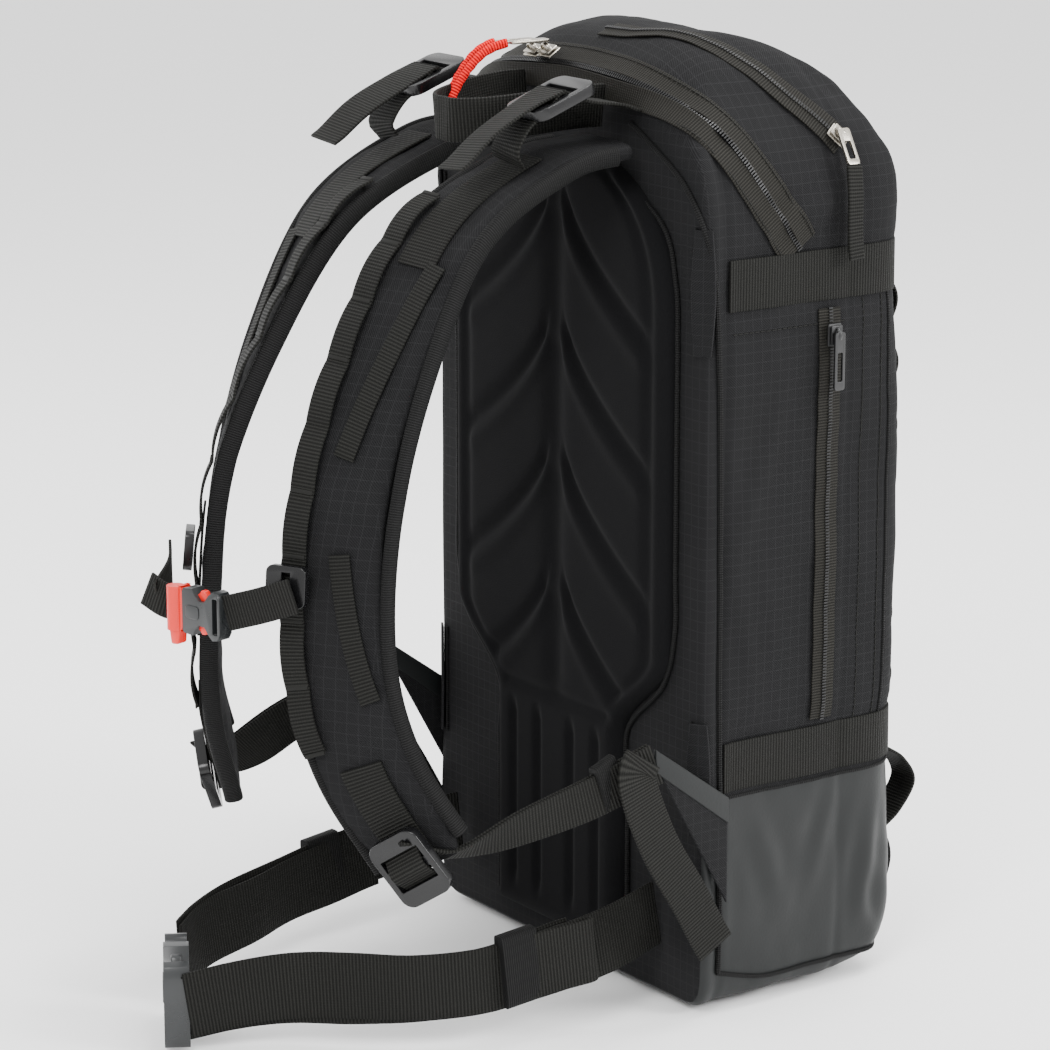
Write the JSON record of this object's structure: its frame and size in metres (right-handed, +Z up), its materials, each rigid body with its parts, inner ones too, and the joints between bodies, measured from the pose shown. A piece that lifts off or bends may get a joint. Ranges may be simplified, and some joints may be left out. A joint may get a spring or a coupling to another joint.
{
  "type": "avalanche airbag backpack",
  "caption": "Upright rucksack with a hinged lid over a curved zip, foam back pad, curved shoulder straps, chest strap and closed hip belt.",
  "frame": {"origin": "middle of the base, on the floor", "axes": "+Z up, -Y towards the wearer, +X to the wearer's left"},
  "size_m": [0.2732, 0.4396, 0.5349],
  "materials": {
    "ripstop_fabric": "ripstop twill",
    "coated_fabric": "smooth coated",
    "moulded_foam": "compression moulded EVA with a knit face",
    "stiffener_sheet": "extruded",
    "alloy": "anodised",
    "airbag_nylon": "folded ripstop nylon",
    "black_plastic": "moulded acetal",
    "grey_plastic": "moulded acetal",
    "red_plastic": "moulded acetal",
    "zip_tape": "woven tape with reversed coil",
    "zip_metal": "antique silver die casting",
    "red_cord": "braided cord",
    "webbing": "ribbed nylon webbing",
    "elastic": "knitted elastic"
  },
  "bodies": {
    "pack": {"adjuster_tails": "webbing", "adjuster_webbings": "webbing", "airbag_pouch": "airbag_nylon", "axe_loop": "webbing", "back_panel": "ripstop_fabric", "band_locks": "black_plastic", "base_boot": "coated_fabric", "compression_bands": "webbing", "cylinder_clamps": "black_plastic", "daisy_chains": "webbing", "foam_back_pad": "moulded_foam", "frame_sheet": "stiffener_sheet", "frame_stays": "alloy", "front_panel": "ripstop_fabric", "gas_cylinder": "alloy", "hip_wings": "coated_fabric", "inflator_head": "black_plastic", "lifter_anchors": "webbing", "main_zip_tape": "zip_tape", "shaft_keeper": "elastic", "side_panel_left": "ripstop_fabric", "side_panel_right": "ripstop_fabric", "side_zip_tape": "zip_tape"},
    "lid": {"lid_shell": "ripstop_fabric", "lid_zip_tape": "zip_tape"},
    "pocket_slider": {"pocket_slider": "zip_metal"},
    "pocket_puller": {"pocket_puller": "zip_metal", "pocket_pull": "webbing"},
    "main_slider_left": {"main_slider_left": "zip_metal"},
    "main_puller_left": {"main_puller_left": "zip_metal", "pull_cord_left": "red_cord"},
    "adjuster_lock_left": {"adjuster_lock_left": "black_plastic"},
    "lifter_lock_left": {"lifter_lock_left": "black_plastic"},
    "belt_keeper_left": {"belt_keeper_left": "elastic"},
    "main_slider_right": {"main_slider_right": "zip_metal"},
    "main_puller_right": {"main_puller_right": "zip_metal", "pull_cord_right": "red_cord"},
    "adjuster_lock_right": {"adjuster_lock_right": "black_plastic"},
    "lifter_lock_right": {"lifter_lock_right": "black_plastic"},
    "belt_keeper_right": {"belt_keeper_right": "elastic"},
    "side_slider": {"side_slider": "zip_metal"},
    "side_puller": {"side_puller": "zip_metal"},
    "haul_loop": {"haul_loop": "webbing"},
    "harness": {"shoulder_strap_left": "ripstop_fabric", "shoulder_strap_right": "ripstop_fabric", "strap_rails": "webbing", "lifter_webbings": "webbing"},
    "sternum": {"sternum_clips": "black_plastic", "sternum_webbing_left": "webbing", "sternum_webbing_right": "webbing", "sternum_socket": "grey_plastic"},
    "sternum_plug": {"sternum_plug": "red_plastic"},
    "sternum_prong_upper": {"sternum_prong_upper": "red_plastic"},
    "sternum_prong_lower": {"sternum_prong_lower": "red_plastic"},
    "belt": {"belt_webbing_left": "webbing", "belt_webbing_right": "webbing", "belt_socket": "grey_plastic"},
    "belt_plug": {"belt_plug": "grey_plastic"},
    "belt_prong_upper": {"belt_prong_upper": "grey_plastic"},
    "belt_prong_lower": {"belt_prong_lower": "grey_plastic"}
  },
  "joints": [
    {"name": "lid_hinge", "type": "hinge", "parent": "pack", "child": "lid", "pos_m": [0, 0.07, 0.424], "axis": [-1, 0, 0], "range_deg": [0, 90], "deforming": ["pocket_pull"]},
    {"name": "pocket_zip", "type": "slide", "parent": "lid", "child": "pocket_slider", "axis": [-0.4, -0.6, 0.6928], "range_m": [0, 0.012], "deforming": ["pocket_pull"]},
    {"name": "pocket_puller_hinge", "type": "hinge", "parent": "pocket_slider", "child": "pocket_puller", "pos_m": [0.1224, 0.017, 0.4836], "axis": [0, -1, 0], "range_deg": [0, 100], "deforming": ["pocket_pull"]},
    {"name": "main_zip_left", "type": "hinge", "parent": "pack", "child": "main_slider_left", "pos_m": [0, 0.04361, 0.33394], "axis": [0, 0.8339, 0.5519], "range_deg": [0, 27], "deforming": ["pull_cord_left"]},
    {"name": "main_zip_right", "type": "hinge", "parent": "pack", "child": "main_slider_right", "pos_m": [0, 0.04361, 0.33394], "axis": [0, 0.8339, 0.5519], "range_deg": [-20, 0], "deforming": ["pull_cord_right"]},
    {"name": "main_puller_hinge_left", "type": "hinge", "parent": "main_slider_left", "child": "main_puller_left", "pos_m": [-0.015, -0.08365, 0.5262], "axis": [-1, 0, 0], "range_deg": [0, 150], "deforming": ["pull_cord_left"]},
    {"name": "main_puller_hinge_right", "type": "hinge", "parent": "main_slider_right", "child": "main_puller_right", "pos_m": [-0.029, -0.08283, 0.52497], "axis": [-1, 0, 0], "range_deg": [0, 150], "deforming": ["pull_cord_right"]},
    {"name": "side_zip", "type": "slide", "parent": "pack", "child": "side_slider", "axis": [0, 0, -1], "range_m": [0, 0.18]},
    {"name": "side_puller_hinge", "type": "hinge", "parent": "side_slider", "child": "side_puller", "pos_m": [0.1373, 0.005, 0.378], "axis": [0, -1, 0], "range_deg": [0, 150]},
    {"name": "haul_loop_hinge", "type": "hinge", "parent": "pack", "child": "haul_loop", "pos_m": [0, -0.0798, 0.5085], "axis": [-1, 0, 0], "range_deg": [0, 75], "deforming": ["pull_cord_left", "pull_cord_right"]},
    {"name": "harness_hinge", "type": "hinge", "parent": "pack", "child": "harness", "pos_m": [0, -0.09, 0.476], "axis": [-1, 0, 0], "range_deg": [-12, 5], "deforming": ["adjuster_webbings", "lifter_webbings"]},
    {"name": "adjuster_lock_tilt_left", "type": "hinge", "parent": "harness", "child": "adjuster_lock_left", "pos_m": [0.09707, -0.2608, 0.1324], "axis": [-0.768, -0.333, -0.547], "range_deg": [0, 30], "deforming": ["adjuster_webbings"]},
    {"name": "adjuster_lock_tilt_right", "type": "hinge", "parent": "harness", "child": "adjuster_lock_right", "pos_m": [-0.09707, -0.2608, 0.1324], "axis": [-0.768, 0.333, 0.547], "range_deg": [0, 30], "deforming": ["adjuster_webbings"]},
    {"name": "lifter_lock_tilt_left", "type": "hinge", "parent": "pack", "child": "lifter_lock_left", "pos_m": [0.06, -0.1122, 0.513], "axis": [-1, 0, 0], "range_deg": [0, 35], "deforming": ["lifter_webbings"]},
    {"name": "lifter_lock_tilt_right", "type": "hinge", "parent": "pack", "child": "lifter_lock_right", "pos_m": [-0.06, -0.1122, 0.513], "axis": [-1, 0, 0], "range_deg": [0, 35], "deforming": ["lifter_webbings"]},
    {"name": "sternum_slide", "type": "slide", "parent": "harness", "child": "sternum", "axis": [0, -0.086, -0.9963], "range_m": [-0.012, 0.012]},
    {"name": "sternum_release", "type": "slide", "parent": "sternum", "child": "sternum_plug", "axis": [-0.9707, -0.2402, 0], "range_m": [0, 0.018], "deforming": ["sternum_webbing_right"]},
    {"name": "belt_release", "type": "slide", "parent": "belt", "child": "belt_plug", "axis": [-0.866, 0.4968, 0.0566], "range_m": [0, 0.026], "deforming": ["belt_webbing_right"]},
    {"name": "sternum_prong_upper_flex", "type": "hinge", "parent": "sternum_plug", "child": "sternum_prong_upper", "pos_m": [-0.0058, -0.3194, 0.249], "axis": [0.2402, -0.9707, 0], "range_deg": [-5, 0], "stiffness_Nm_per_rad": 0.05},
    {"name": "sternum_prong_lower_flex", "type": "hinge", "parent": "sternum_plug", "child": "sternum_prong_lower", "pos_m": [-0.0058, -0.3194, 0.237], "axis": [0.2402, -0.9707, 0], "range_deg": [0, 5], "stiffness_Nm_per_rad": 0.05},
    {"name": "belt_hinge", "type": "hinge", "parent": "pack", "child": "belt", "pos_m": [0, -0.084, 0.0547], "axis": [-1, 0, 0], "range_deg": [-8, 10]},
    {"name": "belt_prong_upper_flex", "type": "hinge", "parent": "belt_plug", "child": "belt_prong_upper", "pos_m": [-0.0288, -0.3198, 0.0416], "axis": [-0.5, -0.8605, -0.098], "range_deg": [-5, 0], "stiffness_Nm_per_rad": 0.2},
    {"name": "belt_prong_lower_flex", "type": "hinge", "parent": "belt_plug", "child": "belt_prong_lower", "pos_m": [-0.0288, -0.3168, 0.0158], "axis": [-0.5, -0.8605, -0.098], "range_deg": [0, 5], "stiffness_Nm_per_rad": 0.2},
    {"name": "belt_keeper_slide_left", "type": "slide", "parent": "belt", "child": "belt_keeper_left", "axis": [0.0857, 0.9899, 0.1128], "range_m": [-0.008, 0.008]},
    {"name": "belt_keeper_slide_right", "type": "slide", "parent": "belt", "child": "belt_keeper_right", "axis": [-0.0857, 0.9899, 0.1128], "range_m": [-0.008, 0.008]}
  ],
  "couplings": [
    {"joint": "sternum_prong_lower_flex", "follows": "sternum_prong_upper_flex", "ratio": -1},
    {"joint": "belt_prong_lower_flex", "follows": "belt_prong_upper_flex", "ratio": -1}
  ]
}
